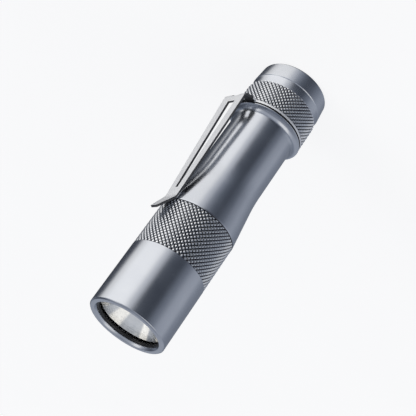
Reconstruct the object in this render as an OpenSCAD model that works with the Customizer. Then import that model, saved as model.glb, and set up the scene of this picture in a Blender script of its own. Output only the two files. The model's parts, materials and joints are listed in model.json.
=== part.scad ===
// Keychain flashlight for one AA-size cell, standing on its tail with the lens up.
// Z runs along the barrel's axis from the tail rim (Z = 0) to the bezel face, and the pocket clip is on +X.

/* [Barrel] */
// Length from the tail rim to the bezel face
overall_len = 81.7; // [79:0.1:90]
// Diameter of the head, the collars and the tail end of the tube
barrel_d = 20.5; // [20:0.1:24]
// Diameter of the slim waist between the two collars
waist_d = 17.3; // [16.8:0.1:19]
// Bore of the battery tube
tube_bore_d = 15; // [14.8:0.1:15.2]
// Running gap on the radius where a thread or a ring turns on a neck
run_gap = 0.05; // [0.02:0.01:0.1]

/* [Head] */
// Length of the head from its seam to the bezel face
head_len = 31.3; // [30:0.1:34]
// Length of the smooth part of the head, with its face
head_smooth_len = 18; // [12:0.5:22]
// Diameter of the opening in the bezel
bezel_open_d = 17; // [15:0.1:17.4]
// Depth of the bezel lip in front of its seal
bezel_lip = 0.8; // [0.7:0.1:1]
// Thickness of the lens glass
lens_t = 1.5; // [1:0.1:1.8]

/* [Tail cap] */
// Length of the tail cap
cap_len = 14.8; // [14.8:0.1:16]
// Diameter of the hole that the switch boot fills
boot_open_d = 12.8; // [10:0.1:13]
// Travel of the switch button
button_travel = 1.2; // [0.5:0.1:1.4]

/* [Cell] */
// Diameter of the cell
cell_d = 14.5; // [14:0.1:14.6]
// Length of the cell with its raised positive end
cell_len = 50.5; // [50:0.1:50.6]

/* [Clip] */
// Thickness of the clip's spring steel
clip_t = 0.6; // [0.4:0.05:0.7]
// Width of the clip at its bend by the tail
clip_root_w = 7.6; // [7:0.1:9]
// Width of the clip where it touches the barrel
clip_heel_w = 4.3; // [3:0.1:5]
// Distance from the axis to the clip's outer face at the tail bend
clip_root_r = 13.2; // [12.9:0.1:14]

/* [Hidden] */
$fn = 96;

// Slack that lets a cutting shape run past the face it cuts
over = 0.1;
// Gap left between pieces that lie face to face
face_gap = 0.05;

barrel_r = barrel_d / 2;
waist_r = waist_d / 2;
tube_bore_r = tube_bore_d / 2;

// Heights along the barrel
z_face = overall_len;
z_seam = z_face - head_len;
z_knurl_top = z_face - head_smooth_len;
z_cone_top = z_seam - 0.5;
cone_len = 13.5;
z_cone_end = z_cone_top - cone_len;
z_collar = cap_len + 1.1;
z_collar_top = z_collar + 0.3;
flare_h = 1.9;
z_flare = z_collar_top + flare_h;

// Threaded necks, drawn as plain cylinders at their crest radius
head_bore_r = barrel_r - 1.05;
head_neck_r = head_bore_r - run_gap;
tail_bore_r = barrel_r - 1.3;
tail_neck_r = tail_bore_r - run_gap;
head_neck_len = 11.5;
tail_neck_len = 6.2;
groove_depth = 0.9;
groove_w = 1.3;
z_head_groove = z_seam + 1.2;
z_tail_groove = z_collar - 2.3 - groove_w;
// Pieces that slide into the bores and stay there
head_fit_r = head_neck_r;
tail_fit_r = tail_bore_r - 0.15;
// Chamfer that leads a piece into its bore
lead_in = 0.3;

// The cell, pressed between the driver contact and the tail spring
nub_r = 2.7;
nub_len = 1;
jacket_t = 0.15;
seal_t = 0.2;
cell_r = cell_d / 2;
can_r = cell_r - jacket_t;
can_len = cell_len - nub_len - seal_t;
can_t = 0.3;
spring_len = 3;
spring_wire_r = 0.3;
switch_floor = 1.8;
boot_flange_t = 1;
boot_recess = 0.5;
boot_top_t = 0.9;
boot_wall_t = 1;
boot_edge = 0.8;
plunger_r = 2.2;
plunger_len = 3;
switch_body_len = 3.8;
spacer_len = 4.6;
board_t = 1;
ring_t = 1;
retaining_r = 6.6;
z_plunger = boot_recess + boot_top_t + face_gap;
z_boot_in = switch_floor + boot_flange_t;
z_switch_board = z_boot_in + spacer_len;
z_spring = z_switch_board + board_t;
z_cell = z_spring + spring_len;
z_nub = z_cell + cell_len;

// Head stack, from the lens down to the driver
oring_r = 0.55;
z_lens_top = z_face - bezel_lip - 2 * oring_r;
z_lens = z_lens_top - lens_t;
bowl_r = bezel_open_d / 2;
focal_len = 2;
bowl_depth = 8;
z_bowl_vertex = z_lens - bowl_r * bowl_r / (4 * focal_len);
z_bowl_base = z_lens - bowl_depth;
star_t = 1.2;
star_r = 8;
gasket_t = 0.6;
z_star_top = z_bowl_base - gasket_t;
z_star = z_star_top - star_t;
pill_floor_t = 1.8;
z_pill_floor = z_star - pill_floor_t;
z_driver_top = z_pill_floor - 2.4;
z_driver = z_driver_top - board_t;
pill_cavity_r = 7.2;
pocket_r = 8.2;
driver_ring_len = 1.1;
z_pill = z_driver - driver_ring_len - 0.2;
led_w = 3.45;
led_t = 0.7;
phosphor_w = 1.4;
phosphor_t = 0.15;
wire_r = 0.5;
wire_x = 6.2;
lead_hole_r = 0.7;

// Clip: a tab rises from the ring to the bend, the arm runs straight to the heel and the lip flares away
z_heel = z_cone_top + 0.1;
heel_r = barrel_r + 0.06 + clip_t;
lip_len = 5.3;
lip_rise = 2.3;
tip_w = 2.1;
clip_ring_r = 10.14;
z_clip = cap_len + face_gap;
// The tab leaves the ring at this distance from the axis and rises at this angle to the bend
tab_x = 10.6;
tab_angle = 25;
bend_r = 0.55;
bend_outer_r = bend_r + clip_t;
bend_x = clip_root_r - bend_outer_r;
tab_end_x = bend_x + bend_outer_r * sin(tab_angle);
tab_end_z = z_clip + (tab_end_x - tab_x) * tan(tab_angle);
z_bend = tab_end_z + bend_outer_r * cos(tab_angle);
keyring_slot_w = 2.4;
keyring_slot_h = 1.9;

module ring(z, h, r_in, r_out) {
    translate([0, 0, z])
        difference() {
            cylinder(h = h, r = r_out);
            translate([0, 0, -over]) cylinder(h = h + 2 * over, r = r_in);
        }
}

module torus(z, r_mid, r_small) {
    translate([0, 0, z])
        rotate_extrude() translate([r_mid, 0]) circle(r = r_small);
}

// ---- Battery tube ----

module body_tube() {
    z_neck_top = z_seam + head_neck_len;
    z_neck_end = z_collar - tail_neck_len;
    flare_w = barrel_r - waist_r;
    flare_r = (flare_w * flare_w + flare_h * flare_h) / (2 * flare_w);
    color("lightslategray")
        difference() {
            rotate_extrude() polygon([
                [0, z_neck_end], [tail_neck_r - lead_in, z_neck_end],
                [tail_neck_r, z_neck_end + lead_in],
                [tail_neck_r, z_collar], [barrel_r - 0.15, z_collar], [barrel_r, z_collar + 0.15],
                [barrel_r, z_flare], [waist_r, z_flare], [waist_r, z_cone_end],
                [barrel_r, z_cone_top], [barrel_r, z_seam], [head_neck_r, z_seam],
                [head_neck_r, z_neck_top - lead_in], [head_neck_r - lead_in, z_neck_top],
                [0, z_neck_top]]);
            torus(z_flare, waist_r + flare_r, flare_r);
            translate([0, 0, z_neck_end - over])
                cylinder(h = z_neck_top - z_neck_end + 2 * over, r = tube_bore_r);
            ring(z_head_groove, groove_w, head_neck_r - groove_depth, barrel_r);
            ring(z_tail_groove, groove_w, tail_neck_r - groove_depth, barrel_r);
        }
}

module neck_oring(z, neck_r) {
    color("black")
        torus(z + groove_w / 2, neck_r - groove_depth / 2, groove_depth / 2 - 0.005);
}

module head_oring() neck_oring(z_head_groove, head_neck_r);

module tail_oring() neck_oring(z_tail_groove, tail_neck_r);

// ---- Cell ----

module cell_can() {
    color("silver")
        difference() {
            translate([0, 0, z_cell]) cylinder(h = can_len, r = can_r);
            translate([0, 0, z_cell + can_t]) cylinder(h = can_len - 2 * can_t, r = can_r - can_t);
        }
}

// The electrodes and the paste between them, as one filling
module cell_core() {
    color("dimgray")
        translate([0, 0, z_cell + can_t])
            cylinder(h = can_len - 2 * can_t, r = can_r - can_t);
}

module cell_jacket() {
    color("gainsboro")
        ring(z_cell + 0.4, can_len - 0.6, can_r, cell_r);
}

module cell_top_seal() {
    color("white")
        ring(z_cell + can_len, seal_t, nub_r + 0.3, can_r);
}

module cell_positive_cap() {
    color("silver")
        translate([0, 0, z_cell + can_len])
            cylinder(h = nub_len + seal_t, r = nub_r);
}

// ---- Head ----

module head_shell() {
    chamfer = 0.3;
    funnel_w = 0.4;
    funnel_h = 0.6;
    knurl_step = 0.2;
    color("lightslategray")
        difference() {
            rotate_extrude() polygon([
                [0, z_seam], [barrel_r - 0.4, z_seam], [barrel_r - knurl_step, z_seam + 0.2],
                [barrel_r - knurl_step, z_knurl_top], [barrel_r, z_knurl_top + 0.1],
                [barrel_r, z_face - chamfer], [barrel_r - chamfer, z_face], [0, z_face]]);
            translate([0, 0, z_seam - over])
                cylinder(h = head_len - bezel_lip + over, r = head_bore_r);
            cylinder(h = z_face + over, r = bowl_r);
            translate([0, 0, z_face - funnel_h])
                cylinder(h = funnel_h, r1 = bowl_r, r2 = bowl_r + funnel_w);
            translate([0, 0, z_face - over / 2]) cylinder(h = over, r = bowl_r + funnel_w);
        }
}

module lens_oring() {
    color("black")
        torus(z_face - bezel_lip - oring_r, head_bore_r - oring_r - 0.01, oring_r);
}

module front_lens() {
    color("aliceblue", 0.4)
        translate([0, 0, z_lens])
            cylinder(h = lens_t, r = head_fit_r);
}

// The bowl is a parabola whose focus is at the light source
function bowl(r) = [r, z_bowl_vertex + r * r / (4 * focal_len)];

module reflector() {
    steps = 24;
    hole_r = sqrt(4 * focal_len * (z_bowl_base - z_bowl_vertex));
    rim_t = 1.6;
    base_r = 5.4;
    color("whitesmoke")
        rotate_extrude() polygon(concat(
            [for (i = [0 : steps]) bowl(hole_r + (bowl_r - hole_r) * i / steps)],
            [[head_fit_r, z_lens], [head_fit_r, z_lens - rim_t], [bowl_r - 0.1, z_lens - rim_t],
             [base_r + 1, z_bowl_base + 2.9], [base_r, z_bowl_base + 1.5], [base_r, z_bowl_base]]));
}

module led_gasket() {
    hole_w = led_w + 0.2;
    color("ivory")
        difference() {
            translate([0, 0, z_star_top]) cylinder(h = gasket_t, r = 5);
            translate([-hole_w / 2, -hole_w / 2, z_star_top - over]) cube([hole_w, hole_w, 1]);
        }
}

module led_package() {
    color("white")
        translate([-led_w / 2, -led_w / 2, z_star_top]) cube([led_w, led_w, led_t]);
}

// Square of phosphor on the package; sink carries it down into the package as a cutter
module phosphor_square(sink) {
    translate([-phosphor_w / 2, -phosphor_w / 2, z_star_top + led_t - sink])
        cube([phosphor_w, phosphor_w, phosphor_t + sink]);
}

module led_phosphor() color("gold") phosphor_square(0);

module led_dome() {
    dome_r = 1.35;
    color("lightyellow", 0.5)
        difference() {
            translate([0, 0, z_star_top + led_t]) sphere(r = dome_r);
            translate([-led_w / 2, -led_w / 2, z_star_top + led_t - led_w]) cube(led_w);
            phosphor_square(over);
        }
}

module led_star() {
    color("white")
        difference() {
            translate([0, 0, z_star]) cylinder(h = star_t, r = star_r);
            for (side = [-1, 1])
                translate([side * wire_x, 0, z_star - over]) cylinder(h = 2, r = lead_hole_r);
        }
}

module pill() {
    color("goldenrod")
        difference() {
            translate([0, 0, z_pill]) cylinder(h = z_star - z_pill, r = head_fit_r);
            translate([0, 0, z_pill - over])
                cylinder(h = z_driver_top - z_pill + over, r = pocket_r);
            translate([0, 0, z_pill - over])
                cylinder(h = z_pill_floor - z_pill + over, r = pill_cavity_r);
            for (side = [-1, 1])
                translate([side * wire_x, 0, z_pill]) cylinder(h = 20, r = lead_hole_r);
        }
}

// A lead that rises from the driver through the pill and bends over onto its pad beside the gasket
module lead(side) {
    z_bend = z_star_top + wire_r + face_gap;
    translate([side * wire_x, 0, z_driver_top])
        cylinder(h = z_bend - z_driver_top, r = wire_r, $fn = 24);
    translate([side * wire_x, 0, z_bend]) sphere(r = wire_r, $fn = 24);
    translate([side * wire_x, 0, z_bend])
        rotate([-90, 0, 0]) cylinder(h = 1.6, r = wire_r, $fn = 24);
}

module positive_wire() color("red") lead(1);

module negative_wire() color("black") lead(-1);

module driver_board() {
    color("darkgreen")
        translate([0, 0, z_driver])
            cylinder(h = board_t, r = pocket_r - run_gap);
}

module driver_chip() {
    color("black")
        translate([-3.8, -2.2, z_driver_top]) cube([3, 4.4, 1.1]);
}

module driver_inductor() {
    color("dimgray")
        translate([0.3, -2, z_driver_top]) cube([4, 4, 1.9]);
}

module driver_capacitors() {
    color("tan")
        for (x = [-2.2, 0.6])
            translate([x, 3, z_driver_top]) cube([2, 1.25, 1]);
}

module driver_contact() {
    color("gold")
        translate([0, 0, z_nub + face_gap])
            cylinder(h = z_driver - z_nub - face_gap, r = 2);
}

module driver_ring() {
    color("goldenrod")
        difference() {
            ring(z_driver - driver_ring_len, driver_ring_len, retaining_r, pocket_r - run_gap);
            for (side = [-1, 1])
                translate([side * 7.4, 0, z_pill - over])
                    cylinder(h = driver_ring_len + 1, r = 0.4);
        }
}

// ---- Tail ----

// Points of a circle of the wire's section at turn t of the conical spring
function coil_at(t, turns, r_end, r_top, h) =
    [for (a = [0 : 45 : 315])
        let (r = r_end + (r_top - r_end) * t / turns + spring_wire_r * cos(a))
        [r * cos(360 * t), r * sin(360 * t), h * t / turns + spring_wire_r * sin(a)]];

module tail_spring() {
    turns = 3;
    per_turn = 18;
    rings = turns * per_turn;
    h = spring_len - 2 * spring_wire_r - 2 * face_gap;
    points = [for (i = [0 : rings]) each coil_at(i / per_turn, turns, 5.2, 2.8, h)];
    sides = [for (i = [0 : rings - 1], j = [0 : 7])
        [8 * i + j, 8 * i + (j + 1) % 8, 8 * (i + 1) + (j + 1) % 8, 8 * (i + 1) + j]];
    color("gold")
        translate([0, 0, z_spring + spring_wire_r + face_gap])
            polyhedron(points, concat([[7, 6, 5, 4, 3, 2, 1, 0]], sides,
                [[for (j = [0 : 7]) 8 * rings + j]]), convexity = 4);
}

module tail_cap() {
    rim_r = barrel_r - 0.75;
    neck_r = barrel_r - 0.35;
    knurl_r = barrel_r - 0.2;
    z_line = 4.9;
    z_knurl = 7.7;
    color("lightslategray")
        difference() {
            rotate_extrude() polygon([
                [0, 0], [rim_r - 0.2, 0], [rim_r, 0.2], [neck_r, z_line - 0.3],
                [neck_r - 0.2, z_line], [neck_r - 0.2, z_knurl - 0.3], [knurl_r, z_knurl],
                [knurl_r, cap_len - 0.3], [knurl_r - 0.3, cap_len], [0, cap_len]]);
            translate([0, 0, switch_floor]) cylinder(h = cap_len, r = tail_bore_r);
            translate([0, 0, -over]) cylinder(h = cap_len, r = boot_open_d / 2);
            translate([0, 0, -over])
                cylinder(h = 0.4 + over, r1 = boot_open_d / 2 + 0.4 + over, r2 = boot_open_d / 2);
        }
}

// Rubber boot: a flange clamped by the spacer and a flat-topped dome, hollow around the plunger
module switch_boot() {
    dome_r = boot_open_d / 2 - 0.2;
    color("black")
        difference() {
            union() {
                translate([0, 0, switch_floor]) cylinder(h = boot_flange_t, r = tail_fit_r);
                translate([0, 0, boot_recess + boot_edge]) cylinder(h = switch_floor, r = dome_r);
                translate([0, 0, boot_recess])
                    cylinder(h = boot_edge, r1 = dome_r - boot_edge, r2 = dome_r);
            }
            translate([0, 0, boot_recess + boot_top_t])
                cylinder(h = z_boot_in, r = dome_r - boot_wall_t);
        }
}

module switch_plunger() {
    head_t = 0.8;
    head_r = 3.4;
    color("white")
        translate([0, 0, z_plunger]) {
            cylinder(h = head_t, r = head_r);
            cylinder(h = plunger_len, r = plunger_r);
        }
}

module switch_spacer() {
    color("white") ring(z_boot_in, spacer_len, 7, tail_fit_r);
}

// The plunger's well is deep enough for the whole of its travel
module switch_housing() {
    z_low = z_switch_board - switch_body_len;
    well_top = z_plunger + plunger_len + button_travel + 0.3;
    color("black")
        difference() {
            translate([0, 0, z_low]) cylinder(h = switch_body_len, r = 5.2);
            translate([0, 0, z_low - over])
                cylinder(h = well_top - z_low + over, r = plunger_r + run_gap);
        }
}

module switch_board() {
    color("darkgreen")
        translate([0, 0, z_switch_board]) cylinder(h = board_t, r = tail_fit_r);
}

module switch_ring() {
    color("goldenrod")
        difference() {
            ring(z_spring, ring_t, retaining_r, tail_bore_r - run_gap);
            for (side = [-1, 1])
                translate([side * 7.6, 0, z_spring - over])
                    cylinder(h = ring_t + 2 * over, r = 0.6);
        }
}

// ---- Clip ----

// Flat ring around the tube's neck, with the root of the tab
module clip_ring() {
    color("silver")
        translate([0, 0, z_clip])
            linear_extrude(clip_t) difference() {
                union() {
                    circle(r = clip_ring_r);
                    translate([0, -clip_root_w / 2]) square([tab_x, clip_root_w]);
                }
                circle(r = tail_neck_r + run_gap);
            }
}

// The arm's side outline, cut to its outline seen from outside
module clip_arm() {
    reach = 30;
    slot_start = z_bend + 1.7;
    slot_end = z_heel - 2.8;
    slot_half_start = 1.3;
    slot_half_end = 0.4;
    color("silver")
        difference() {
            intersection() {
                rotate([90, 0, 0])
                    translate([0, 0, -reach / 2]) linear_extrude(reach) union() {
                        clip_tab_side();
                        clip_bend_side();
                        clip_arm_side();
                    }
                clip_outline(reach);
            }
            rotate([90, 0, 90])
                linear_extrude(reach)
                    polygon([
                        [-slot_half_start, slot_start], [slot_half_start, slot_start],
                        [slot_half_end, slot_end], [-slot_half_end, slot_end]]);
            translate([tab_x + 0.5, -keyring_slot_w / 2, 0])
                cube([reach, keyring_slot_w, z_clip + keyring_slot_h]);
        }
}

module clip_tab_side() {
    rise = clip_t / cos(tab_angle);
    polygon([
        [tab_x, z_clip], [tab_end_x, tab_end_z],
        [tab_end_x - clip_t * sin(tab_angle), tab_end_z + clip_t * cos(tab_angle)],
        [tab_x, z_clip + rise]]);
}

module clip_bend_side() {
    reach = 2 * bend_outer_r;
    translate([bend_x, z_bend])
        intersection() {
            difference() {
                circle(r = bend_outer_r);
                circle(r = bend_r);
            }
            polygon([
                [0, 0], [reach * sin(tab_angle), -reach * cos(tab_angle)], [reach, -reach], [reach, 0]]);
        }
}

module clip_arm_side() {
    z_tip = z_heel + lip_len;
    knee = 0.5;
    polygon([
        [clip_root_r - clip_t, z_bend], [clip_root_r, z_bend],
        [heel_r, z_heel - knee], [heel_r + 0.12, z_heel + knee],
        [heel_r + lip_rise, z_tip], [heel_r + lip_rise - clip_t, z_tip + 0.2],
        [heel_r - clip_t + 0.06, z_heel + knee], [heel_r - clip_t, z_heel - knee]]);
}

module clip_outline(reach) {
    z_tip = z_heel + lip_len + 0.2;
    half_root = clip_root_w / 2;
    half_heel = clip_heel_w / 2;
    half_tip = tip_w / 2;
    tip_round = 0.4;
    rotate([90, 0, 90])
        linear_extrude(reach)
            polygon([
                [-half_root, z_clip - over], [half_root, z_clip - over], [half_root, z_bend + 2],
                [half_heel, z_heel], [half_tip, z_tip - tip_round], [half_tip - tip_round, z_tip],
                [tip_round - half_tip, z_tip], [-half_tip, z_tip - tip_round],
                [-half_heel, z_heel], [-half_root, z_bend + 2]]);
}

body_tube();
head_oring();
tail_oring();
cell_can();
cell_core();
cell_jacket();
cell_positive_cap();
cell_top_seal();
head_shell();
lens_oring();
front_lens();
reflector();
led_gasket();
led_package();
led_phosphor();
led_dome();
led_star();
pill();
positive_wire();
negative_wire();
driver_board();
driver_chip();
driver_inductor();
driver_capacitors();
driver_contact();
driver_ring();
tail_spring();
tail_cap();
switch_boot();
switch_spacer();
switch_housing();
switch_board();
switch_ring();
switch_plunger();
clip_ring();
clip_arm();
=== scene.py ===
"""Keychain flashlight on a pale floor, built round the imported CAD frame: metres, Z up from tail to lens."""
import json
import math

import bmesh
import bpy
from mathutils import Matrix, Vector


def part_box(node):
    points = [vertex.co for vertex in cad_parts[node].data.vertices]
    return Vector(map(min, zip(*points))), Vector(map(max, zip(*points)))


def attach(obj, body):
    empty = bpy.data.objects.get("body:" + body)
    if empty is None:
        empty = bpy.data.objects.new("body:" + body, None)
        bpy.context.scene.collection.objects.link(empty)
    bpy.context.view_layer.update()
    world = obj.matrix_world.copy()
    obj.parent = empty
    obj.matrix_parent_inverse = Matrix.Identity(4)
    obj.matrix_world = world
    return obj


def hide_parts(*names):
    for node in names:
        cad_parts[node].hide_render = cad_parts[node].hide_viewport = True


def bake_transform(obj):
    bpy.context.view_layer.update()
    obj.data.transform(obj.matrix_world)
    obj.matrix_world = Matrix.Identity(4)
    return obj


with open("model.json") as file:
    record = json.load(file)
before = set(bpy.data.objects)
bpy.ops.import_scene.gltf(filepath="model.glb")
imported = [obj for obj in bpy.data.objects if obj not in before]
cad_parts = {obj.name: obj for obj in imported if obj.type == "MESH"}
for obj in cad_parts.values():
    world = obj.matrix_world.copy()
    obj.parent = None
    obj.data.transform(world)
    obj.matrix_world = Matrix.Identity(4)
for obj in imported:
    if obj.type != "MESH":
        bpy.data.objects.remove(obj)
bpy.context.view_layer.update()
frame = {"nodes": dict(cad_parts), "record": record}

MM = 0.001
TURN = 2 * math.pi

# ---- Sizes, from the frame where it has them ----
HEAD_LOW, HEAD_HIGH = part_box("head_shell")
TUBE_LOW, TUBE_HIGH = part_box("body_tube")
LENS_LOW, LENS_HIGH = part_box("front_lens")
BOWL_LOW, BOWL_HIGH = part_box("reflector")
RING_LOW, RING_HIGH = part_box("clip_ring")
BOOT_LOW, BOOT_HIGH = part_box("switch_boot")
Z_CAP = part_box("tail_cap")[1][2]
Z_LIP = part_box("clip_arm")[1][2]

# Casing
R = -HEAD_LOW[0]
Z_SEAM = HEAD_LOW[2]
Z_FACE = HEAD_HIGH[2]
Z_COLLAR = Z_CAP + 1.1 * MM
SMOOTH_HEAD = 18.0 * MM
WAIST_R = 8.65 * MM
BEZEL_R = 8.5 * MM
TUBE_BORE_R = 7.5 * MM
BOOT_HOLE_R = 6.4 * MM
FIT_GAP = 0.05 * MM
BOOT_GAP = 0.15 * MM
HEAD_BORE_R = LENS_HIGH[0] + FIT_GAP
TAIL_BORE_R = BOOT_HIGH[0] + BOOT_GAP
SWITCH_FLOOR = 1.8 * MM
CORNER = 0.10 * MM

# Threads and knurl
THREAD_PITCH = 0.75 * MM
THREAD_DEPTH = 0.35 * MM
KNURL_COUNT = 55
KNURL_DEPTH = 0.32 * MM
KNURL_CROWN = 0.09 * MM
KNURL_END = 0.08 * MM
KNURL_BED = 0.05 * MM
KNURL_CLEAR = 0.02 * MM
CAP_BAND_LOW = 7.7 * MM
CAP_CREST_DROP = 0.08 * MM

# Clip
CLIP_T = RING_HIGH[2] - RING_LOW[2]
TAB_X = 10.6 * MM
TAB_ANGLE = 25
HEEL_Z = Z_SEAM - 0.4 * MM
BEND_R = 0.55 * MM + CLIP_T
ROOT_X = 13.2 * MM
SLOT_LOW = RING_LOW[2] + 3.65 * MM
SLOT_HIGH = HEEL_Z - 2.8 * MM
SLOT_HALF_LOW = 1.3 * MM
SLOT_HALF_HIGH = 0.4 * MM
RING_HOLE_HALF = 1.2 * MM
RING_HOLE_HIGH = RING_LOW[2] + 1.9 * MM
LIP_RISE = 2.3 * MM
LIP_END = Z_LIP - 0.25 * MM


# ---- Mesh building ----

def add_object(name, mesh):
    """Links a mesh as an object."""
    obj = bpy.data.objects.new(name, mesh)
    bpy.context.scene.collection.objects.link(obj)
    return obj


def finish_mesh(bm, name, smooth_angle=30):
    """Turns a bmesh into an object shaded smooth except across edges sharper than the angle."""
    bmesh.ops.recalc_face_normals(bm, faces=bm.faces)
    limit = math.radians(smooth_angle)
    for face in bm.faces:
        face.smooth = True
    for edge in bm.edges:
        edge.smooth = edge.is_manifold and edge.calc_face_angle(0) < limit
    mesh = bpy.data.meshes.new(name)
    bm.to_mesh(mesh)
    bm.free()
    return add_object(name, mesh)


def arc(centre, radius, start, end, steps):
    """Points (r, z) along a circular arc; angles in degrees, 0 pointing outwards and 90 up."""
    points = []
    for i in range(steps + 1):
        a = math.radians(start + (end - start) * i / steps)
        points.append((centre[0] + radius * math.cos(a), centre[1] + radius * math.sin(a)))
    return points


def eased(before, corner, after, cut, steps=4):
    """Points (r, z) on a curve that leaves one side of a corner and joins the other at the cut distance."""
    corner = Vector(corner)
    first = corner + (Vector(before) - corner).normalized() * cut
    last = corner + (Vector(after) - corner).normalized() * cut
    points = []
    for k in range(steps + 1):
        t = k / steps
        points.append(tuple(first * (1 - t) ** 2 + corner * 2 * t * (1 - t) + last * t * t))
    return points


def rounded(points, radius):
    """A closed outline (r, z) with each corner cut back to a small arc, at most a third of its sides."""
    out = []
    n = len(points)
    for i in range(n):
        before, corner, after = Vector(points[i - 1]), Vector(points[i]), Vector(points[(i + 1) % n])
        back, ahead = before - corner, after - corner
        if abs(back.normalized().cross(ahead.normalized())) < 0.05:
            out.append(tuple(corner))
        else:
            out += eased(before, corner, after, min(radius, back.length / 3, ahead.length / 3))
    return out


def lathe_into(bm, outline, segments=192):
    """Revolves a closed outline (r, z) about Z into bm."""
    rings = []
    for i in range(segments):
        a = TURN * i / segments
        rings.append([bm.verts.new((r * math.cos(a), r * math.sin(a), z)) for r, z in outline])
    n = len(outline)
    for i in range(segments):
        near, far = rings[i], rings[(i + 1) % segments]
        for j in range(n):
            k = (j + 1) % n
            bm.faces.new((near[j], far[j], far[k], near[k]))


def lathe(name, outline, segments=192, smooth_angle=30):
    """A ring-shaped object from a closed outline that stays off the axis."""
    bm = bmesh.new()
    lathe_into(bm, outline, segments)
    return finish_mesh(bm, name, smooth_angle)


def disc(name, outline, segments=192, smooth_angle=30):
    """A solid of revolution from an open outline whose two ends lie on the axis."""
    bm = bmesh.new()
    inner = outline[1:-1]
    rings = []
    for i in range(segments):
        a = TURN * i / segments
        rings.append([bm.verts.new((r * math.cos(a), r * math.sin(a), z)) for r, z in inner])
    first = bm.verts.new((0, 0, outline[0][1]))
    last = bm.verts.new((0, 0, outline[-1][1]))
    for i in range(segments):
        near, far = rings[i], rings[(i + 1) % segments]
        for j in range(len(inner) - 1):
            bm.faces.new((near[j], far[j], far[j + 1], near[j + 1]))
        bm.faces.new((first, far[0], near[0]))
        bm.faces.new((near[-1], far[-1], last))
    return finish_mesh(bm, name, smooth_angle)


def knurl_into(bm, z_low, z_high, crest_r, floor_r):
    """A closed sleeve of crowned diamonds between two crossed sets of V grooves at 45 degrees."""
    half = TURN * crest_r / KNURL_COUNT / 2
    groove_r = crest_r - KNURL_DEPTH
    crown_r = crest_r - KNURL_CROWN
    inset = 0.60
    rows = int((z_high - z_low) / half) + 4
    z_start = z_low - 2 * half
    columns = 2 * KNURL_COUNT
    band = bmesh.new()

    def vert(i, j, r):
        """A vertex at column i and row j, on a cylinder of radius r."""
        a = TURN * i / columns
        return band.verts.new((r * math.cos(a), r * math.sin(a), z_start + j * half))

    corners = {}
    for j in range(-1, rows + 2):
        for i in range(columns):
            if (i + j) % 2:
                corners[i, j] = vert(i, j, groove_r)
    for j in range(rows + 1):
        for i in range(columns):
            if (i + j) % 2:
                continue
            around = [corners[(i + 1) % columns, j], corners[i, j + 1],
                      corners[(i - 1) % columns, j], corners[i, j - 1]]
            shoulders = [vert(i + inset, j, crown_r), vert(i, j + inset, crown_r),
                         vert(i - inset, j, crown_r), vert(i, j - inset, crown_r)]
            top = vert(i, j, crest_r)
            for k in range(4):
                n = (k + 1) % 4
                band.faces.new((around[k], around[n], shoulders[n], shoulders[k]))
                band.faces.new((shoulders[k], shoulders[n], top))
    for z, side in ((z_low, -1), (z_high, 1)):
        cut = bmesh.ops.bisect_plane(band, geom=band.verts[:] + band.edges[:] + band.faces[:], dist=1e-7,
                                     plane_co=(0, 0, z), plane_no=(0, 0, side), clear_outer=True)
        rim = [e for e in cut["geom_cut"] if isinstance(e, bmesh.types.BMEdge)]
        skirt = bmesh.ops.extrude_edge_only(band, edges=rim)
        for v in [g for g in skirt["geom"] if isinstance(g, bmesh.types.BMVert)]:
            direction = Vector((v.co.x, v.co.y)).normalized() * floor_r
            v.co = Vector((direction.x, direction.y, z))
    open_edges = [e for e in band.edges if e.is_boundary]
    bmesh.ops.bridge_loops(band, edges=open_edges)
    bmesh.ops.recalc_face_normals(band, faces=band.faces)
    scratch = bpy.data.meshes.new("scratch")
    band.to_mesh(scratch)
    band.free()
    bm.from_mesh(scratch)
    bpy.data.meshes.remove(scratch)


def thread_into(bm, z_low, z_high, r, segments=96, steps=6):
    """A closed sleeve with a helical V thread cut into a neck of radius r."""
    rows = int((z_high - z_low) / THREAD_PITCH * steps)
    wall = 0.1 * MM
    floor_r = r - THREAD_DEPTH - wall
    rings = []
    for j in range(rows + 1):
        z = z_low + (z_high - z_low) * j / rows
        fade = min(1, 3 * j / steps, 3 * (rows - j) / steps)
        ring = []
        for i in range(segments):
            turn = i / segments
            saw = abs(((z - z_low) / THREAD_PITCH - turn) % 1 - 0.5) * 2
            here = r - THREAD_DEPTH * fade * saw
            ring.append(bm.verts.new((here * math.cos(TURN * turn), here * math.sin(TURN * turn), z)))
        rings.append(ring)
    for z in (z_high, z_low):
        rings.append([bm.verts.new((floor_r * math.cos(TURN * i / segments),
                                    floor_r * math.sin(TURN * i / segments), z)) for i in range(segments)])
    for j in range(len(rings)):
        near, far = rings[j], rings[(j + 1) % len(rings)]
        for i in range(segments):
            n = (i + 1) % segments
            bm.faces.new((near[i], near[n], far[n], far[i]))


# ---- Materials ----

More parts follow.
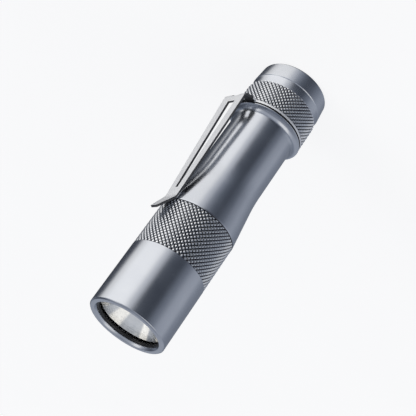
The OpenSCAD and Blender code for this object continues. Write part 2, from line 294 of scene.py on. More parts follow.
class Nodes:
    """Short calls for building one material's node tree in object space."""

    def __init__(self, name):
        self.material = bpy.data.materials.new(name)
        self.material.use_nodes = True
        self.tree = self.material.node_tree
        self.shader = self.tree.nodes["Principled BSDF"]
        self.place = self.tree.nodes.new("ShaderNodeTexCoord").outputs["Object"]

    def add(self, kind, **settings):
        node = self.tree.nodes.new(kind)
        for key, value in settings.items():
            setattr(node, key, value)
        return node

    def link(self, source, target):
        self.tree.links.new(source, target)

    def stretched(self, scale):
        """Object coordinates, stretched by a factor on each axis."""
        node = self.add("ShaderNodeMapping")
        node.inputs["Scale"].default_value = scale
        self.link(self.place, node.inputs["Vector"])
        return node.outputs["Vector"]

    def noise(self, size, detail=3.0, rough=0.55, stretch=(1, 1, 1)):
        """Noise whose blobs are about size metres across."""
        node = self.add("ShaderNodeTexNoise")
        node.inputs["Scale"].default_value = 1 / size
        node.inputs["Detail"].default_value = detail
        node.inputs["Roughness"].default_value = rough
        self.link(self.stretched(stretch), node.inputs["Vector"])
        return node.outputs["Fac"]

    def remap(self, source, low, high, to_low, to_high):
        """The source, clamped between low and high and mapped to to_low and to_high."""
        node = self.add("ShaderNodeMapRange")
        for key, value in (("From Min", low), ("From Max", high), ("To Min", to_low), ("To Max", to_high)):
            node.inputs[key].default_value = value
        self.link(source, node.inputs["Value"])
        return node.outputs["Result"]

    def mix(self, factor, a, b):
        """Colour a where factor is 0 and b where it is 1; a and b are sockets or plain colours."""
        node = self.add("ShaderNodeMix", data_type="RGBA")
        for index, value in ((6, a), (7, b)):
            if hasattr(value, "is_linked"):
                self.link(value, node.inputs[index])
            else:
                node.inputs[index].default_value = (*value, 1)
        self.link(factor, node.inputs[0])
        return node.outputs[2]

    def math(self, operation, a, b=None):
        """One Math node; a and b are sockets or plain numbers."""
        node = self.add("ShaderNodeMath", operation=operation)
        for index, value in enumerate((a, b)):
            if value is None:
                continue
            if hasattr(value, "is_linked"):
                self.link(value, node.inputs[index])
            else:
                node.inputs[index].default_value = value
        return node.outputs[0]

    def radius(self):
        """Distance from the flashlight's axis."""
        flat = self.add("ShaderNodeVectorMath", operation="MULTIPLY")
        flat.inputs[1].default_value = (1, 1, 0)
        self.link(self.place, flat.inputs[0])
        node = self.add("ShaderNodeVectorMath", operation="LENGTH")
        self.link(flat.outputs[0], node.inputs[0])
        return node.outputs["Value"]

    def height(self):
        """Height above the tail rim."""
        node = self.add("ShaderNodeSeparateXYZ")
        self.link(self.place, node.inputs[0])
        return node.outputs["Z"]

    def bump(self, source, distance):
        """Fine relief, with the distance in metres."""
        node = self.add("ShaderNodeBump")
        node.inputs["Distance"].default_value = distance
        self.link(source, node.inputs["Height"])
        self.link(node.outputs["Normal"], self.shader.inputs["Normal"])

    def set(self, **values):
        """Constants on the shader: metallic, ior, transmission_weight and so on."""
        for key, value in values.items():
            self.shader.inputs[key.replace("_", " ").title().replace("Ior", "IOR")].default_value = value

    def colour(self, socket):
        self.link(socket, self.shader.inputs["Base Color"])

    def roughness(self, socket):
        self.link(socket, self.shader.inputs["Roughness"])


def metal(name, light, dark, rough, blotch=6 * MM, grain=0.12 * MM, grain_depth=2e-6, stretch=(1, 1, 1)):
    """A metal with slow colour drift, uneven roughness and a fine blasted grain."""
    n = Nodes(name)
    n.set(metallic=1.0)
    drift = n.noise(blotch, 2.0)
    fine = n.noise(grain, 3.0, stretch=stretch)
    n.colour(n.mix(n.remap(drift, 0.3, 0.7, 0, 1), dark, light))
    n.roughness(n.math("ADD", n.remap(fine, 0.3, 0.7, rough - 0.03, rough + 0.03),
                       n.remap(drift, 0.3, 0.7, -0.02, 0.02)))
    n.bump(fine, grain_depth)
    return n


def anodised(name):
    """Satin blue-grey anodising, worn paler on the knurl's crests, with painted shade dark in its grooves,
    the gap at the collar and the seams.
    """
    n = Nodes(name)
    n.set(metallic=1.0)
    drift = n.noise(7 * MM, 2.0)
    fine = n.noise(0.10 * MM, 3.0)
    base = n.mix(n.remap(drift, 0.3, 0.7, 0, 1), (0.50, 0.53, 0.585), (0.54, 0.57, 0.62))
    z = n.height()
    in_head_band = n.math("MULTIPLY", n.math("GREATER_THAN", z, Z_SEAM + 0.05 * MM),
                          n.math("LESS_THAN", z, Z_FACE - SMOOTH_HEAD))
    in_cap_band = n.math("MULTIPLY", n.math("GREATER_THAN", z, CAP_BAND_LOW), n.math("LESS_THAN", z, Z_CAP))
    band = n.math("ADD", in_head_band, in_cap_band)
    radius = n.radius()
    outer = n.math("ADD", radius, n.math("MULTIPLY", in_cap_band, CAP_CREST_DROP))
    crest = n.remap(outer, R - 0.10 * MM, R - 0.03 * MM, 0, 1)
    # painted shade: the knurl's grooves go dark
    groove = n.remap(outer, R - 0.26 * MM, R - 0.12 * MM, 1, 0)
    worn = n.mix(n.math("MULTIPLY", crest, band), base, (0.86, 0.88, 0.90))
    # painted shade: dark ring in the gap between the tail cap and the collar
    gap = n.math("MULTIPLY", n.math("LESS_THAN", radius, R - 0.09 * MM),
                 n.math("MULTIPLY", n.math("GREATER_THAN", z, Z_CAP + 0.02 * MM),
                        n.math("LESS_THAN", z, Z_COLLAR + 0.03 * MM)))
    # painted shade: dark line along the seam between head and tube
    seam_shade = n.math("LESS_THAN", n.math("ABSOLUTE", n.math("SUBTRACT", z, Z_SEAM - 0.03 * MM)), 0.13 * MM)
    # painted shade from the grooves, the collar gap and the seam, mixed in near black
    shaded = n.math("MAXIMUM", n.math("MULTIPLY", groove, band), n.math("MAXIMUM", gap, seam_shade))
    n.colour(n.mix(n.math("MULTIPLY", shaded, 0.93), worn, (0.02, 0.022, 0.028)))
    n.roughness(n.math("ADD", n.remap(fine, 0.3, 0.7, 0.20, 0.26), n.remap(drift, 0.3, 0.7, -0.02, 0.02)))
    n.bump(fine, 1.5e-6)
    return n.material


def clip_steel():
    """Bead-blasted stainless steel, with painted shade on its side and upward faces and on its inner face by
    the bend and the heel.
    """
    n = metal("clip_steel", (0.92, 0.94, 0.96), (0.86, 0.88, 0.91), 0.42, blotch=3 * MM, grain=0.09 * MM,
              grain_depth=3e-6)
    n.set(metallic=0.4)
    blasted = n.shader.inputs["Base Color"].links[0].from_socket
    across = n.add("ShaderNodeSeparateXYZ")
    n.link(n.tree.nodes["Texture Coordinate"].outputs["Normal"], across.inputs[0])
    where = n.add("ShaderNodeSeparateXYZ")
    n.link(n.place, where.inputs[0])
    on_arm = n.math("GREATER_THAN", where.outputs["X"], TAB_X - 0.1 * MM)
    # painted shade: the clip's side faces go dark
    side_shade = n.remap(n.math("ABSOLUTE", across.outputs["Y"]), 0.75, 0.95, 0, 1)
    low = RING_LOW[2]
    # painted shade: the inner face goes dark near the bend and the heel, where it lies close to the body
    hidden = n.math("MAXIMUM", n.remap(where.outputs["Z"], low + 2.2 * MM, low + 4.0 * MM, 1, 0),
                    n.remap(where.outputs["Z"], HEEL_Z - 15 * MM, HEEL_Z - 9 * MM, 0, 1))
    inner = n.math("MULTIPLY", n.remap(across.outputs["X"], -0.2, -0.45, 0, 1), hidden)
    # painted shade: faces turned up towards the head go dark
    upper = n.remap(across.outputs["Z"], 0.55, 0.8, 0, 1)
    dark = n.math("MAXIMUM", n.math("MULTIPLY", n.math("MAXIMUM", side_shade, inner), on_arm), upper)
    # painted shade mixed into the steel's colour
    n.colour(n.mix(n.math("MULTIPLY", dark, 0.95), blasted, (0.05, 0.05, 0.055)))
    return n.material


def rubber(name, tone, rough):
    n = Nodes(name)
    fine = n.noise(0.15 * MM, 4.0)
    dust = n.noise(1.5 * MM, 3.0)
    n.colour(n.mix(n.remap(dust, 0.45, 0.75, 0, 1), tone, tuple(c + 0.025 for c in tone)))
    n.roughness(n.remap(fine, 0.3, 0.7, rough - 0.08, rough + 0.08))
    n.bump(fine, 4e-6)
    n.set(specular_ior_level=0.4)
    return n.material


def plastic(name, tone, rough, speck=0.04):
    n = Nodes(name)
    fine = n.noise(0.2 * MM, 3.0)
    slow = n.noise(2 * MM, 2.0)
    n.colour(n.mix(n.remap(slow, 0.3, 0.7, 0, 1), tone, tuple(c * (1 - speck) for c in tone)))
    n.roughness(n.remap(fine, 0.3, 0.7, rough - 0.06, rough + 0.06))
    n.bump(fine, 2e-6)
    return n.material


def lens_glass():
    n = Nodes("lens_glass")
    n.set(transmission_weight=1.0, ior=1.45, metallic=0.0, coat_weight=0.15, coat_roughness=0.02)
    haze = n.noise(3 * MM, 3.0)
    n.colour(n.mix(haze, (0.97, 0.99, 1.0), (1.0, 1.0, 1.0)))
    n.roughness(n.remap(haze, 0.3, 0.8, 0.0, 0.02))
    return n.material


def reflector_mirror():
    """Vacuum-metallised bowl with a trace of orange peel."""
    n = Nodes("reflector_mirror")
    n.set(metallic=1.0)
    peel = n.noise(0.5 * MM, 1.5)
    slow = n.noise(4 * MM, 2.0)
    n.colour(n.mix(n.remap(slow, 0.3, 0.7, 0, 1), (0.93, 0.92, 0.89), (0.88, 0.87, 0.84)))
    n.roughness(n.remap(peel, 0.3, 0.7, 0.04, 0.10))
    n.bump(peel, 4e-6)
    return n.material


def phosphor():
    n = Nodes("phosphor")
    grain = n.noise(0.08 * MM, 3.0)
    n.colour(n.mix(grain, (0.93, 0.74, 0.12), (0.85, 0.62, 0.08)))
    n.roughness(n.remap(grain, 0.3, 0.7, 0.5, 0.75))
    return n.material


def dome_silicone():
    n = Nodes("dome_silicone")
    n.set(transmission_weight=1.0, ior=1.41, metallic=0.0)
    haze = n.noise(0.6 * MM, 2.0)
    n.colour(n.mix(haze, (1.0, 0.99, 0.95), (1.0, 1.0, 0.99)))
    n.roughness(n.remap(haze, 0.3, 0.8, 0.02, 0.06))
    return n.material


def circuit_board():
    """Green solder mask over faint copper tracks."""
    n = Nodes("green_board")
    tracks = n.add("ShaderNodeTexBrick")
    tracks.inputs["Scale"].default_value = 900
    tracks.inputs["Mortar Size"].default_value = 0.06
    n.link(n.place, tracks.inputs["Vector"])
    fine = n.noise(0.3 * MM, 3.0)
    n.colour(n.mix(tracks.outputs["Fac"], (0.02, 0.17, 0.07), (0.04, 0.27, 0.12)))
    n.roughness(n.remap(fine, 0.3, 0.7, 0.25, 0.4))
    n.bump(tracks.outputs["Fac"], 1e-5)
    return n.material


def build_materials():
    """One material for each slot of the record."""
    return {
        "anodised_aluminium": anodised("anodised_aluminium"),
        "black_rubber": rubber("black_rubber", (0.012, 0.012, 0.013), 0.35),
        "boot_rubber": rubber("boot_rubber", (0.025, 0.025, 0.027), 0.6),
        "cell_steel": metal("cell_steel", (0.78, 0.77, 0.75), (0.70, 0.69, 0.67), 0.25).material,
        "cell_filling": plastic("cell_filling", (0.05, 0.05, 0.05), 0.8),
        "cell_sleeve": plastic("cell_sleeve", (0.55, 0.57, 0.60), 0.25),
        "white_plastic": plastic("white_plastic", (0.78, 0.78, 0.75), 0.45),
        "lens_glass": lens_glass(),
        "reflector_mirror": reflector_mirror(),
        "led_ceramic": plastic("led_ceramic", (0.85, 0.85, 0.82), 0.35),
        "phosphor": phosphor(),
        "dome_silicone": dome_silicone(),
        "star_board": plastic("star_board", (0.85, 0.86, 0.85), 0.3),
        "brass_pill": metal("brass_pill", (0.78, 0.60, 0.30), (0.68, 0.51, 0.24), 0.28,
                            stretch=(1, 1, 12)).material,
        "red_sleeve": plastic("red_sleeve", (0.50, 0.02, 0.02), 0.4),
        "black_sleeve": plastic("black_sleeve", (0.02, 0.02, 0.02), 0.4),
        "green_board": circuit_board(),
        "black_plastic": plastic("black_plastic", (0.025, 0.025, 0.025), 0.45),
        "capacitor_ceramic": plastic("capacitor_ceramic", (0.42, 0.30, 0.18), 0.5),
        "gold_plate": metal("gold_plate", (0.90, 0.70, 0.34), (0.84, 0.62, 0.28), 0.18).material,
        "clip_steel": clip_steel(),
    }


MATERIALS = build_materials()


def dress(obj, slot):
    """Gives an object its slot's material."""
    obj.data.materials.clear()
    obj.data.materials.append(MATERIALS[slot])


def dress_cad_nodes():
    """Every CAD node takes the material of its slot."""
    slots = {part["node"]: part["material_slot"] for part in frame["record"]["subparts"]}
    for name, obj in frame["nodes"].items():
        dress(obj, slots[name])


def place(obj, body, slot, *nodes):
    """Finishes a piece: its material, the body it rides on and the CAD nodes it stands for."""
    dress(obj, slot)
    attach(obj, body)
    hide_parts(*nodes)
    return obj


# ---- Pieces ----

def head_shell():
    """Bezel lip with its funnel, smooth barrel and knurled band, bored from behind."""
    chamfer = 0.3 * MM
    funnel_w, funnel_h = 0.4 * MM, 0.6 * MM
    lip = 0.8 * MM
    z_band = Z_FACE - SMOOTH_HEAD
    floor_r = R - KNURL_DEPTH - KNURL_BED
    band_end = z_band - 0.05 * MM
    outline = [
        (HEAD_BORE_R, Z_SEAM), (floor_r, Z_SEAM), (floor_r, band_end),
        (R, z_band), (R, Z_FACE - chamfer), (R - chamfer, Z_FACE), (BEZEL_R + funnel_w, Z_FACE),
        (BEZEL_R, Z_FACE - funnel_h), (BEZEL_R, Z_FACE - lip), (HEAD_BORE_R, Z_FACE - lip)]
    bm = bmesh.new()
    lathe_into(bm, rounded(outline, CORNER))
    knurl_into(bm, Z_SEAM + KNURL_END, band_end, R, floor_r + KNURL_CLEAR)
    place(finish_mesh(bm, "head_shell_turned", 28), "head", "anodised_aluminium", "head_shell")


def neck_outline(r, z_start, z_groove, z_end):
    """A neck from its shoulder to its end: a plain seat, an O-ring groove, a land and the thread's root."""
    toward = 1 if z_end > z_start else -1
    groove_depth, groove_w, land = 0.9 * MM, 1.3 * MM * toward, 0.3 * MM * toward
    thread_root = r - 0.4 * MM
    return [
        (r, z_start), (r, z_groove), (r - groove_depth, z_groove), (r - groove_depth, z_groove + groove_w),
        (r, z_groove + groove_w), (r, z_groove + groove_w + land), (thread_root, z_groove + groove_w + land),
        (thread_root, z_end)]


def body_tube():
    """Cone, waist and flared collar between two threaded necks."""
    head_land, cone_length, waist_ease = 0.5 * MM, 13.5 * MM, 3.0 * MM
    collar_land, collar_edge, head_edge = 0.3 * MM, 0.1 * MM, 0.12 * MM
    head_seat, tail_seat = 1.2 * MM, 2.3 * MM
    thread_gap, thread_end = 0.05 * MM, 0.1 * MM
    z_cone_top = Z_SEAM - head_land
    z_cone_end = z_cone_top - cone_length
    flare_w, flare_h = R - WAIST_R, 1.9 * MM
    flare_r = (flare_w ** 2 + flare_h ** 2) / (2 * flare_w)
    flare_angle = math.degrees(math.asin(flare_h / flare_r))
    z_flare = Z_COLLAR + collar_land + flare_h
    flare = arc((WAIST_R + flare_r, z_flare), flare_r, 180, 180 + flare_angle, 12)
    waist_end = eased((WAIST_R, z_flare), (WAIST_R, z_cone_end), (R, z_cone_top), waist_ease, 12)
    head_neck_r, tail_neck_r = HEAD_BORE_R - FIT_GAP, TAIL_BORE_R - FIT_GAP
    head_neck = neck_outline(head_neck_r, Z_SEAM, Z_SEAM + head_seat, TUBE_HIGH[2])
    tail_neck = neck_outline(tail_neck_r, Z_COLLAR, Z_COLLAR - tail_seat, TUBE_LOW[2])
    head_thread_z, tail_thread_z = head_neck[-2][1], tail_neck[-2][1]
    outline = [
        (TUBE_BORE_R, TUBE_LOW[2]), *tail_neck[::-1], (R - collar_edge, Z_COLLAR),
        (R, Z_COLLAR + collar_edge), (R, Z_COLLAR + collar_land), *flare[-2:0:-1], (WAIST_R, z_flare),
        *waist_end, (R, z_cone_top), (R, Z_SEAM - head_edge), (R - head_edge, Z_SEAM),
        *head_neck, (TUBE_BORE_R, TUBE_HIGH[2])]
    bm = bmesh.new()
    lathe_into(bm, rounded(outline, CORNER))
    thread_into(bm, TUBE_LOW[2] + thread_end, tail_thread_z - thread_gap, tail_neck_r)
    thread_into(bm, head_thread_z + thread_gap, TUBE_HIGH[2] - thread_end, head_neck_r)
    place(finish_mesh(bm, "body_tube_turned", 25), "tube", "anodised_aluminium", "body_tube")


def tail_cap():
    """Knurled cap with a hollow-ground relief that ends at a ledge, then a tapered end, open for the boot."""
    z_line = 4.9 * MM
    ledge = 0.13 * MM
    chamfer = 0.35 * MM
    mouth = 0.4 * MM
    rim_r = R - 0.72 * MM
    line_r = R - 0.32 * MM
    relief_r = R - 0.60 * MM
    crest_r = R - CAP_CREST_DROP
    floor_r = crest_r - KNURL_DEPTH - KNURL_BED
    relief = [(line_r, z_line)]
    steps = 8
    for i in range(steps + 1):
        t = i / steps
        relief.append((line_r - ledge + (relief_r - line_r + ledge) * (1 - (1 - t) ** 2),
                       z_line + ledge + (CAP_BAND_LOW - z_line - ledge) * t))
    outline = [
        (BOOT_HOLE_R + mouth, 0), (rim_r - chamfer, 0), (rim_r, chamfer), *relief, (floor_r, CAP_BAND_LOW),
        (floor_r, Z_CAP), (TAIL_BORE_R, Z_CAP), (TAIL_BORE_R, SWITCH_FLOOR), (BOOT_HOLE_R, SWITCH_FLOOR),
        (BOOT_HOLE_R, mouth)]
    bm = bmesh.new()
    lathe_into(bm, rounded(outline, CORNER))
    knurl_into(bm, CAP_BAND_LOW, Z_CAP - KNURL_END, crest_r, floor_r + KNURL_CLEAR)
    place(finish_mesh(bm, "tail_cap_turned", 28), "tail_cap", "anodised_aluminium", "tail_cap")


def reflector():
    """Smooth parabolic bowl with its rim and its tapered back."""
    focal = 2.0 * MM
    vertex = LENS_LOW[2] - BEZEL_R ** 2 / (4 * focal)
    base_z = BOWL_LOW[2]
    hole_r = math.sqrt(4 * focal * (base_z - vertex))
    rim_r = BOWL_HIGH[0]
    rim_t = 1.6 * MM
    base_r = 5.4 * MM
    steps = 48
    bowl = []
    for i in range(steps + 1):
        r = hole_r + (BEZEL_R - hole_r) * i / steps
        bowl.append((r, vertex + r * r / (4 * focal)))
    edge = 0.1 * MM
    outline = bowl + [
        (rim_r - edge, LENS_LOW[2]), (rim_r, LENS_LOW[2] - edge), (rim_r, LENS_LOW[2] - rim_t),
        (BEZEL_R - edge, LENS_LOW[2] - rim_t), (base_r + 1 * MM, base_z + 2.9 * MM),
        (base_r, base_z + 1.5 * MM), (base_r, base_z)]
    place(lathe("reflector_bowl", outline), "head", "reflector_mirror", "reflector")


def front_lens():
    """Glass disc with ground edges."""
    r = LENS_HIGH[0]
    low, high = LENS_LOW[2], LENS_HIGH[2]
    edge = 0.15 * MM
    outline = [(0, low), (r - edge, low), (r, low + edge), (r, high - edge), (r - edge, high), (0, high)]
    place(disc("front_lens_glass", outline), "head", "lens_glass", "front_lens")


def lens_oring():
    """Nitrile ring squeezed under the bezel lip."""
    low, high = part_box("lens_oring")
    small = (high[2] - low[2]) / 2
    centre = (high[0] - small, (low[2] + high[2]) / 2)
    outline = arc(centre, small, 0, 360, 24)[:-1]
    place(lathe("lens_oring_round", outline, 192, 60), "head", "black_rubber", "lens_oring")


def switch_boot():
    """Rubber boot: clamped flange, straight side and a slightly domed button."""
    dome_r = BOOT_HOLE_R - 0.2 * MM
    inner_r = dome_r - 1.0 * MM
    tip = BOOT_LOW[2]
    flange_high = SWITCH_FLOOR + 1.0 * MM
    outline = [
        (0, tip), (2.2 * MM, tip + 0.02 * MM), (4.0 * MM, tip + 0.12 * MM), (5.0 * MM, tip + 0.32 * MM),
        (5.7 * MM, tip + 0.62 * MM), (dome_r, tip + 1.0 * MM), (dome_r, SWITCH_FLOOR),
        (BOOT_HIGH[0], SWITCH_FLOOR), (BOOT_HIGH[0], flange_high), (dome_r, flange_high),
        (dome_r - 0.2 * MM, flange_high + 0.3 * MM), (inner_r, flange_high + 0.3 * MM),
        (inner_r, tip + 1.1 * MM), (3.6 * MM, tip + 0.9 * MM), (0, tip + 0.9 * MM)]
    boot = disc("switch_boot_rubber", outline, 96, 35)
    dress(boot, "boot_rubber")
    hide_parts("switch_boot")
    return boot


def bend_centre():
    """Centre (x, z) of the bend between the rising tab and the arm."""
    x = ROOT_X - BEND_R
    tab_end = x + BEND_R * math.sin(math.radians(TAB_ANGLE))
    z = RING_LOW[2] + (tab_end - TAB_X) * math.tan(math.radians(TAB_ANGLE))
    return x, z + BEND_R * math.cos(math.radians(TAB_ANGLE))


def clip_path():
    """The clip's outer face as (x, z) points, up the tab, round the bend and along the arm to the lip."""
    low = RING_LOW[2]
    overlap, ease, ease_rise, straight = 0.6 * MM, 0.15 * MM, 0.06 * MM, 0.5 * MM
    points = [(R - overlap, low), (TAB_X - ease, low), (TAB_X + ease, low + ease_rise)]
    points.append((TAB_X + straight, low + straight * math.tan(math.radians(TAB_ANGLE))))
    points += arc(bend_centre(), BEND_R, TAB_ANGLE - 90, 0, 10)
    foot = Vector(points[-1])
    heel_gap = 0.06 * MM
    heel = Vector((R + heel_gap + CLIP_T, HEEL_Z))
    stops = [SLOT_LOW + (SLOT_HIGH - SLOT_LOW) * i / 14 for i in range(15)]
    for z in stops:
        points.append(tuple(foot.lerp(heel, (z - foot.y) / (heel.y - foot.y))))
    knee = 0.7 * MM
    start = foot.lerp(heel, 1 - knee / (heel.y - foot.y))
    tip = Vector((heel.x + LIP_RISE, LIP_END))
    finish = heel.lerp(tip, knee / (tip - heel).length)
    for i in range(7):
        t = i / 6
        points.append(tuple(start * (1 - t) ** 2 + heel * 2 * t * (1 - t) + finish * t * t))
    points += [tuple(finish.lerp(tip, i / 4)) for i in range(1, 5)]
    return [Vector(p) for p in points]


def clip_half_width(z):
    """Half the clip's width at a height on its path, with the lip's corners rounded off."""
    root, heel, tip = 3.8 * MM, 2.15 * MM, 1.05 * MM
    z_root = bend_centre()[1] + 2 * MM
    if z < z_root:
        return root
    if z < HEEL_Z:
        return root + (heel - root) * (z - z_root) / (HEEL_Z - z_root)
    return heel + (tip - heel) * min(1, (z - HEEL_Z) / (LIP_END - HEEL_Z)) ** 1.3


def clip_gap_half(x, z):
    """Half the opening's width at a point of the path, in the key-ring hole or the arm's slot, or None."""
    tolerance = 0.01 * MM
    if x > TAB_X + 0.4 * MM and z < RING_HOLE_HIGH:
        return RING_HOLE_HALF
    if SLOT_LOW - tolerance <= z <= SLOT_HIGH + tolerance:
        return SLOT_HALF_LOW + (SLOT_HALF_HIGH - SLOT_HALF_LOW) * (z - SLOT_LOW) / (SLOT_HIGH - SLOT_LOW)
    return None


def clip_arm_blank():
    """Tab, bend, arm and lip swept from the side outline, with the key-ring hole and the slot left open."""
    path = clip_path()
    bm = bmesh.new()
    sections = []
    for i, p in enumerate(path):
        before, after = path[max(i - 1, 0)], path[min(i + 1, len(path) - 1)]
        along = (after - before).normalized()
        inner = p + Vector((-along.y, along.x)) * CLIP_T
        half = clip_half_width(p.y)
        gap = clip_gap_half(p.x, p.y)
        edge = gap or 0.4 * half
        spans = [-half, -edge, edge, half]
        sections.append(([bm.verts.new((p.x, y, p.y)) for y in spans],
                         [bm.verts.new((inner.x, y, inner.y)) for y in spans], gap is not None))
    for a, b in zip(sections, sections[1:]):
        open_middle = a[2] and b[2]
        for k in range(3):
            if open_middle and k == 1:
                continue
            bm.faces.new((a[0][k], a[0][k + 1], b[0][k + 1], b[0][k]))
            bm.faces.new((a[1][k], b[1][k], b[1][k + 1], a[1][k + 1]))
        for k in (0, 1, 2, 3) if open_middle else (0, 3):
            bm.faces.new((a[0][k], b[0][k], b[1][k], a[1][k]))
    for before, here, after in zip(sections, sections[1:], sections[2:]):
        if here[2] and before[2] != after[2]:
            bm.faces.new((here[0][1], here[0][2], here[1][2], here[1][1]))
    for end in (sections[0], sections[-1]):
        for k in range(3):
            bm.faces.new((end[0][k], end[0][k + 1], end[1][k + 1], end[1][k]))
    return finish_mesh(bm, "clip_arm_blank", 40)


def clip_ring_blank():
    """The flat ring that the tab rises from."""
    bm = bmesh.new()
    outer = 10.14 * MM
    low, high = RING_LOW[2], RING_HIGH[2]
    lathe_into(bm, [(TAIL_BORE_R, low), (outer, low), (outer, high), (TAIL_BORE_R, high)], 96)
    return finish_mesh(bm, "clip_ring_blank", 40)


def apply_modifiers(obj):
    """Freezes an object's modifiers into its mesh."""
    graph = bpy.context.evaluated_depsgraph_get()
    mesh = bpy.data.meshes.new_from_object(obj.evaluated_get(graph))
    obj.modifiers.clear()
    obj.data = mesh


def clip():
    """Joins ring and arm and eases the edges."""
    ring = clip_ring_blank()
    arm = clip_arm_blank()
    union = arm.modifiers.new("join_ring", "BOOLEAN")
    union.operation = "UNION"
    union.solver = "EXACT"
    union.object = ring
    apply_modifiers(arm)
    bevel = arm.modifiers.new("eased_edges", "BEVEL")
    bevel.width = CORNER
    bevel.segments = 3
    bevel.limit_method = "ANGLE"
    bevel.angle_limit = math.radians(35)
    apply_modifiers(arm)
    bpy.data.objects.remove(ring)
    arm.name = "spring_clip"
    dress(arm, "clip_steel")
    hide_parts("clip_ring", "clip_arm")
    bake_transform(arm)


# ---- Studio ----

CAMERA_AZIMUTH = -60.1
CAMERA_ELEVATION = 27.83
CAMERA_ROLL = 144.69
CAMERA_DISTANCE = 0.2625
CAMERA_LENS = 91.75
AIM = Vector((0.0004, 0.0002, 0.0440))


def camera():
    """Long lens above the head's side, rolled so that the lens end points down to the left."""
    azimuth, elevation = math.radians(CAMERA_AZIMUTH), math.radians(CAMERA_ELEVATION)
    toward = Vector((math.cos(elevation) * math.cos(azimuth), math.cos(elevation) * math.sin(azimuth),
                     math.sin(elevation)))
    level_up = (Vector((0, 0, 1)) - toward * toward.z).normalized()
    level_right = (-toward).cross(level_up)
    roll = math.radians(CAMERA_ROLL)
    up = level_up * math.cos(roll) + level_right * math.sin(roll)
    right = (-toward).cross(up)
    data = bpy.data.cameras.new("camera")
    data.lens = CAMERA_LENS
    data.sensor_width = 36
    data.clip_start = 0.01
    data.clip_end = 20
    obj = bpy.data.objects.new("camera", data)
    bpy.context.scene.collection.objects.link(obj)
    turn = Matrix((right, up, toward)).transposed().to_4x4()
    obj.matrix_world = Matrix.Translation(AIM + toward * CAMERA_DISTANCE) @ turn
    bpy.context.scene.camera = obj


# Brightness round the flashlight as (angle, level). Angles are in degrees from the camera, positive clockwise
# as seen from above. These are the walls below the horizon, their foot, and the lights and the ceiling above.
WALLS = [
    (-180, 0.10), (-150, 0.06), (-128, 0.10), (-108, 1.10), (-85, 1.42), (-42, 1.42), (-24, 0.80), (-6, 0.09),
    (28, 0.075), (48, 0.25), (72, 0.52), (95, 0.55), (115, 0.34), (140, 0.26), (160, 0.25), (180, 0.10)]
FOOT = [
    (-180, 0.10), (-150, 0.06), (-128, 0.10), (-108, 1.00), (-85, 1.18), (-45, 1.18), (-26, 0.72), (-8, 0.38),
    (10, 0.17), (28, 0.10), (48, 0.12), (72, 0.24), (95, 0.38), (115, 0.45), (150, 0.28), (180, 0.10)]
CEILING = [
    (-180, 0.48), (-155, 0.30), (-140, 0.10), (-112, 0.12), (-98, 0.40), (-88, 0.45), (-80, 1.35),
    (-60, 1.35), (-50, 0.62), (-25, 0.55), (15, 0.60), (28, 1.20), (62, 1.20), (76, 0.62), (110, 0.50),
    (180, 0.48)]
UNDERFOOT = (0.03, 0.033, 0.042)
HORIZON = (0.27, 0.30, 0.36)
ZENITH = (0.30, 0.32, 0.37)
BACKDROP = (0.95, 0.95, 0.95)
COOL = Vector((0.86, 0.98, 1.24))
WARM = Vector((1.03, 1.00, 0.965))


def surround(tree, fraction, levels):
    """A ramp round the horizon, bluer where it is darker."""
    ramp = tree.nodes.new("ShaderNodeValToRGB")
    ramp.color_ramp.interpolation = "EASE"
    stops = sorted(((180 - angle) / 360, level) for angle, level in levels)
    while len(ramp.color_ramp.elements) < len(stops):
        ramp.color_ramp.elements.new(0.5)
    for element, (position, level) in zip(ramp.color_ramp.elements, stops):
        element.position = position
        element.color = (*(COOL.lerp(WARM, min(1, level)) * level), 1)
    tree.links.new(fraction, ramp.inputs["Fac"])
    return ramp.outputs["Color"]


def blend_over(tree, source, low, high, below, above):
    """Colour below, easing into colour above as the source runs from low to high."""
    step = tree.nodes.new("ShaderNodeMapRange")
    step.interpolation_type = "SMOOTHSTEP"
    for key, value in (("From Min", low), ("From Max", high), ("To Min", 0), ("To Max", 1)):
        step.inputs[key].default_value = value
    mix = tree.nodes.new("ShaderNodeMix")
    mix.data_type = "RGBA"
    tree.links.new(source, step.inputs["Value"])
    tree.links.new(step.outputs["Result"], mix.inputs[0])
    for index, value in ((6, below), (7, above)):
        if hasattr(value, "is_linked"):
            tree.links.new(value, mix.inputs[index])
        else:
            mix.inputs[index].default_value = (*value, 1)
    return mix.outputs[2]


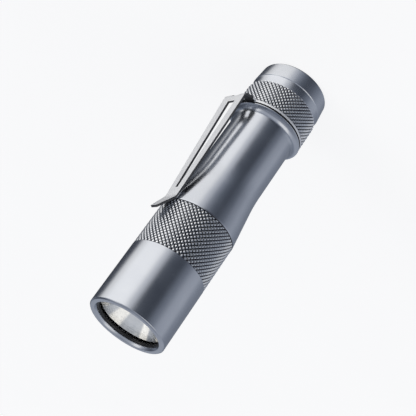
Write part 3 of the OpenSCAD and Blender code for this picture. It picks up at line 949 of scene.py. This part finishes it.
def studio_light():
    """The world: a softbox on one side, a weaker one on the other, lights above and darkness underfoot."""
    world = bpy.data.worlds.new("studio")
    bpy.context.scene.world = world
    world.use_nodes = True
    tree = world.node_tree
    direction = tree.nodes.new("ShaderNodeTexCoord")
    turn = tree.nodes.new("ShaderNodeMapping")
    turn.inputs["Rotation"].default_value = (0, 0, math.radians(-CAMERA_AZIMUTH))
    angle = tree.nodes.new("ShaderNodeTexGradient")
    angle.gradient_type = "RADIAL"
    split = tree.nodes.new("ShaderNodeSeparateXYZ")
    seen = tree.nodes.new("ShaderNodeLightPath")
    tree.links.new(direction.outputs["Generated"], turn.inputs["Vector"])
    tree.links.new(turn.outputs["Vector"], angle.inputs["Vector"])
    tree.links.new(direction.outputs["Generated"], split.inputs[0])
    height = split.outputs["Z"]
    walls = surround(tree, angle.outputs["Fac"], WALLS)
    ceiling = surround(tree, angle.outputs["Fac"], CEILING)
    foot = surround(tree, angle.outputs["Fac"], FOOT)
    bottom = blend_over(tree, height, -0.97, -0.78, UNDERFOOT, foot)
    lower = blend_over(tree, height, -0.74, -0.46, bottom, walls)
    haze = blend_over(tree, height, -0.08, 0.02, lower, HORIZON)
    upper = blend_over(tree, height, 0.10, 0.28, haze, ceiling)
    whole = blend_over(tree, height, 0.66, 0.84, upper, ZENITH)
    visible = blend_over(tree, seen.outputs["Is Camera Ray"], 0, 1, whole, BACKDROP)
    tree.links.new(visible, tree.nodes["Background"].inputs["Color"])


def floor():
    """Pale floor that only the camera sees, like a sheet of translucent paper lit from below."""
    bm = bmesh.new()
    bmesh.ops.create_grid(bm, x_segments=1, y_segments=1, size=6)
    obj = finish_mesh(bm, "floor")
    n = Nodes("pale_floor")
    n.set(roughness=0.9, specular_ior_level=0.0, emission_strength=0.80)
    n.shader.inputs["Emission Color"].default_value = (1, 1, 1, 1)
    fine = n.noise(0.05, 3.0)
    n.colour(n.mix(fine, (0.30, 0.30, 0.30), (0.32, 0.32, 0.32)))
    obj.data.materials.append(n.material)
    obj.visible_glossy = False
    obj.visible_diffuse = False
    obj.visible_transmission = False
    obj.visible_shadow = False


def build():
    dress_cad_nodes()
    head_shell()
    body_tube()
    tail_cap()
    reflector()
    front_lens()
    lens_oring()
    boot = switch_boot()
    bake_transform(boot)
    clip()
    camera()
    studio_light()
    floor()
    bpy.context.scene.view_settings.view_transform = "Standard"


build()
